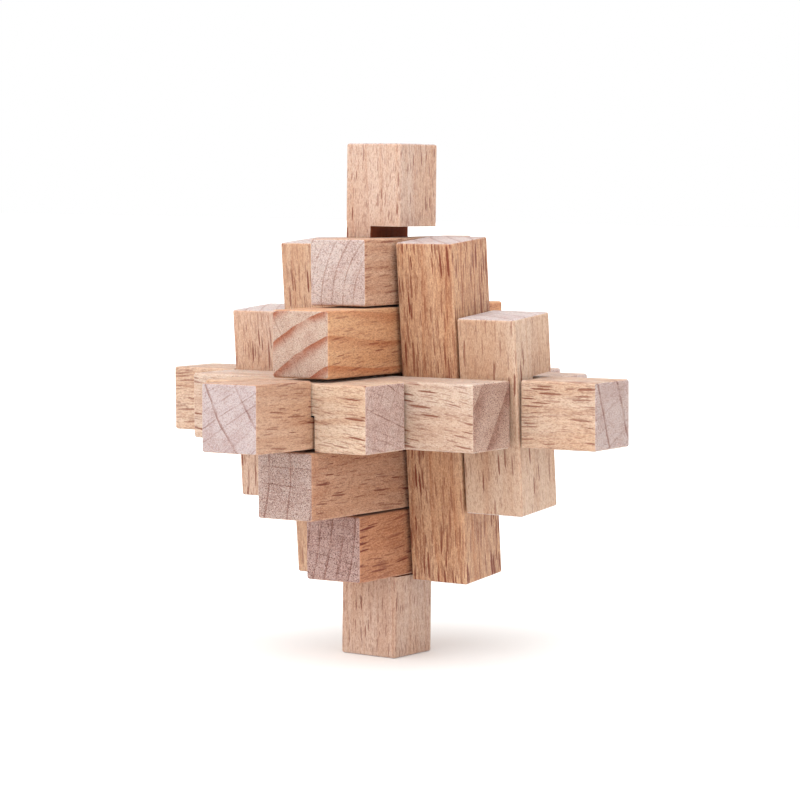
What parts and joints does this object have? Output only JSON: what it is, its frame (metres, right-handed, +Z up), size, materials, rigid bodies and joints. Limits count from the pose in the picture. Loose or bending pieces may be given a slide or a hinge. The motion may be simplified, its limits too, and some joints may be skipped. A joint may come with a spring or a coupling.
{
  "type": "wooden burr puzzle",
  "caption": "Wooden burr puzzle of square half-lapped bars that cross in a stepped diamond, standing on the foot of its upright key bar.",
  "frame": {"origin": "centre of the upright key bar's foot, on the surface that the puzzle stands on", "axes": "+Z up along the upright key bar, +X along the long crossbar, -Y towards the front ends of the through bars"},
  "size_m": [0.0777, 0.078, 0.0781],
  "materials": {
    "beech": "bare sanded beech with softened edges"
  },
  "bodies": {
    "upright_key_bar": {"upright_key_bar": "beech"},
    "through_bar_long": {"through_bar_long": "beech"},
    "crossbar_long": {"crossbar_long": "beech"},
    "through_bar_short_upper": {"through_bar_short_upper": "beech"},
    "through_bar_medium_upper": {"through_bar_medium_upper": "beech"},
    "through_bar_medium_lower": {"through_bar_medium_lower": "beech"},
    "through_bar_short_lower": {"through_bar_short_lower": "beech"},
    "crossbar_short_front": {"crossbar_short_front": "beech"},
    "crossbar_medium_front": {"crossbar_medium_front": "beech"},
    "crossbar_medium_back": {"crossbar_medium_back": "beech"},
    "crossbar_short_back": {"crossbar_short_back": "beech"},
    "upright_short_left": {"upright_short_left": "beech"},
    "upright_medium_left": {"upright_medium_left": "beech"},
    "upright_medium_right": {"upright_medium_right": "beech"},
    "upright_short_right": {"upright_short_right": "beech"}
  },
  "joints": [
    {"name": "stack_lift", "type": "slide", "parent": "upright_key_bar", "child": "through_bar_long", "axis": [0, 0, 1], "range_m": [0, 0.0016]},
    {"name": "crossbar_long_slide", "type": "slide", "parent": "through_bar_long", "child": "crossbar_long", "axis": [0.9999, 0.0103, 0.0132], "range_m": [-0.0002, 0.0002]},
    {"name": "through_bar_short_upper_pull_out", "type": "slide", "parent": "through_bar_long", "child": "through_bar_short_upper", "axis": [0.0105, -0.9999, -0.0112], "range_m": [-0.0003, 0.026]},
    {"name": "through_bar_medium_upper_pull_out", "type": "slide", "parent": "through_bar_long", "child": "through_bar_medium_upper", "axis": [0.0261, -0.9997, -0.0031], "range_m": [-0.0003, 0.036]},
    {"name": "through_bar_medium_lower_slide", "type": "slide", "parent": "through_bar_long", "child": "through_bar_medium_lower", "axis": [-0.0088, -0.9999, -0.0054], "range_m": [-0.0003, 0.0003]},
    {"name": "through_bar_short_lower_slide", "type": "slide", "parent": "through_bar_long", "child": "through_bar_short_lower", "axis": [-0.007, -0.9999, -0.0114], "range_m": [-0.0003, 0.0003]},
    {"name": "crossbar_short_front_slide", "type": "slide", "parent": "through_bar_long", "child": "crossbar_short_front", "axis": [0.9999, -0.0036, 0.013], "range_m": [-0.0003, 0.0003]},
    {"name": "crossbar_medium_front_slide", "type": "slide", "parent": "through_bar_long", "child": "crossbar_medium_front", "axis": [0.9999, -0.0001, 0.0131], "range_m": [-0.0003, 0.0003]},
    {"name": "crossbar_medium_back_slide", "type": "slide", "parent": "through_bar_long", "child": "crossbar_medium_back", "axis": [0.9999, 0.0033, 0.0131], "range_m": [-0.0003, 0.0003]},
    {"name": "crossbar_short_back_slide", "type": "slide", "parent": "through_bar_long", "child": "crossbar_short_back", "axis": [0.9999, -0.0001, 0.0131], "range_m": [-0.0003, 0.0003]},
    {"name": "upright_short_left_lean", "type": "hinge", "parent": "crossbar_long", "child": "upright_short_left", "pos_m": [-0.0208, 0.00014, 0.03793], "axis": [0.9999, -0.0001, 0.0131], "range_deg": [-3.9, 0]},
    {"name": "upright_medium_left_lean", "type": "hinge", "parent": "crossbar_long", "child": "upright_medium_left", "pos_m": [-0.01065, 0.0002, 0.03806], "axis": [0.9999, -0.0001, 0.0131], "range_deg": [-4.3, 0]},
    {"name": "upright_medium_right_lean", "type": "hinge", "parent": "crossbar_long", "child": "upright_medium_right", "pos_m": [0.0109, 0.00027, 0.03834], "axis": [0.9999, -0.0001, 0.0131], "range_deg": [-5, 0]},
    {"name": "upright_short_right_lean", "type": "hinge", "parent": "crossbar_long", "child": "upright_short_right", "pos_m": [0.0213, 0.00028, 0.03848], "axis": [0.9999, -0.0001, 0.0131], "range_deg": [-5, 0]}
  ]
}
